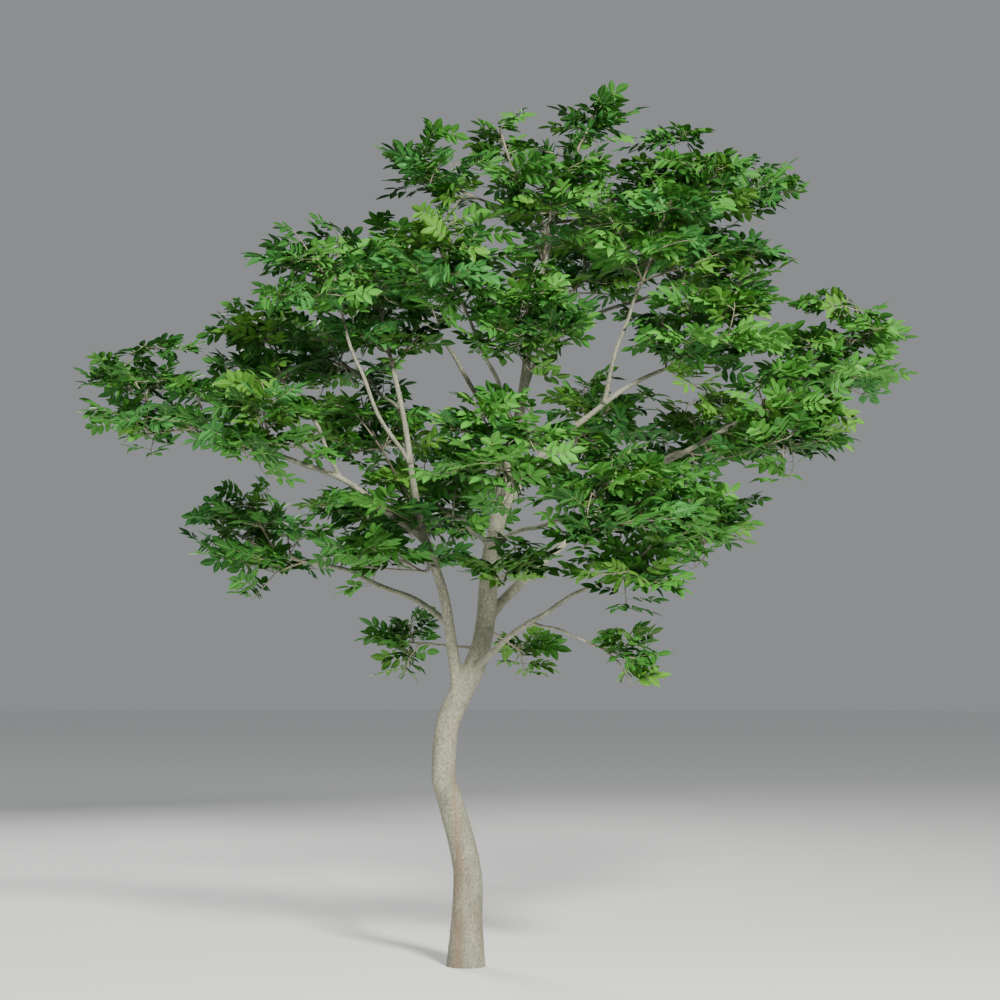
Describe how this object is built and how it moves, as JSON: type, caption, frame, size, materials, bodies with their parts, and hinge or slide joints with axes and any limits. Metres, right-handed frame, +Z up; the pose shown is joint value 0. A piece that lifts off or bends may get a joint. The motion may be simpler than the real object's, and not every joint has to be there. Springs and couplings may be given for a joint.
{
  "type": "gumbo limbo tree",
  "caption": "Young broadleaf tree with a crooked pale trunk that forks low into long rising boughs, which carry tiers of compound leaves.",
  "frame": {"origin": "middle of the trunk's flat cut at ground level", "axes": "+Z up, +X to the right of the picture's view, +Y away from its camera"},
  "size_m": [4.1147, 2.8863, 4.2189],
  "materials": {
    "bark": "matt, finely mottled",
    "leaves": "satin"
  },
  "bodies": {
    "root": {"trunk": "bark", "left_leader_bough": "bark", "far_left_bough": "bark", "left_upper_bough": "bark", "upper_left_bough": "bark", "left_back_bough": "bark", "low_left_bough": "bark", "left_low_bough": "bark", "low_right_bough": "bark", "low_spray_bough": "bark", "far_right_bough": "bark", "right_low_bough": "bark", "right_back_bough": "bark", "front_right_bough": "bark", "right_inner_bough": "bark", "right_upper_bough": "bark", "centre_front_bough": "bark", "centre_back_bough": "bark", "back_upper_bough": "bark", "upper_front_bough": "bark", "upper_back_bough": "bark", "right_top_back_bough": "bark", "top_left_bough": "bark", "top_right_bough": "bark", "far_top_right_bough": "bark", "left_leader_foliage": "leaves", "far_left_foliage": "leaves", "left_upper_foliage": "leaves", "upper_left_foliage": "leaves", "left_back_foliage": "leaves", "low_left_foliage": "leaves", "left_low_foliage": "leaves", "low_right_foliage": "leaves", "low_spray_foliage": "leaves", "far_right_foliage": "leaves", "right_low_foliage": "leaves", "right_back_foliage": "leaves", "front_right_foliage": "leaves", "right_inner_foliage": "leaves", "right_upper_foliage": "leaves", "centre_front_foliage": "leaves", "centre_back_foliage": "leaves", "back_upper_foliage": "leaves", "upper_front_foliage": "leaves", "upper_back_foliage": "leaves", "right_top_back_foliage": "leaves", "top_left_foliage": "leaves", "top_right_foliage": "leaves", "far_top_right_foliage": "leaves", "left_middle_foliage": "leaves", "left_centre_foliage": "leaves", "low_back_left_foliage": "leaves", "low_back_right_foliage": "leaves", "low_front_foliage": "leaves", "right_middle_foliage": "leaves", "right_centre_foliage": "leaves", "upper_centre_foliage": "leaves", "upper_middle_foliage": "leaves", "top_foliage": "leaves", "top_back_foliage": "leaves"}
  },
  "joints": []
}
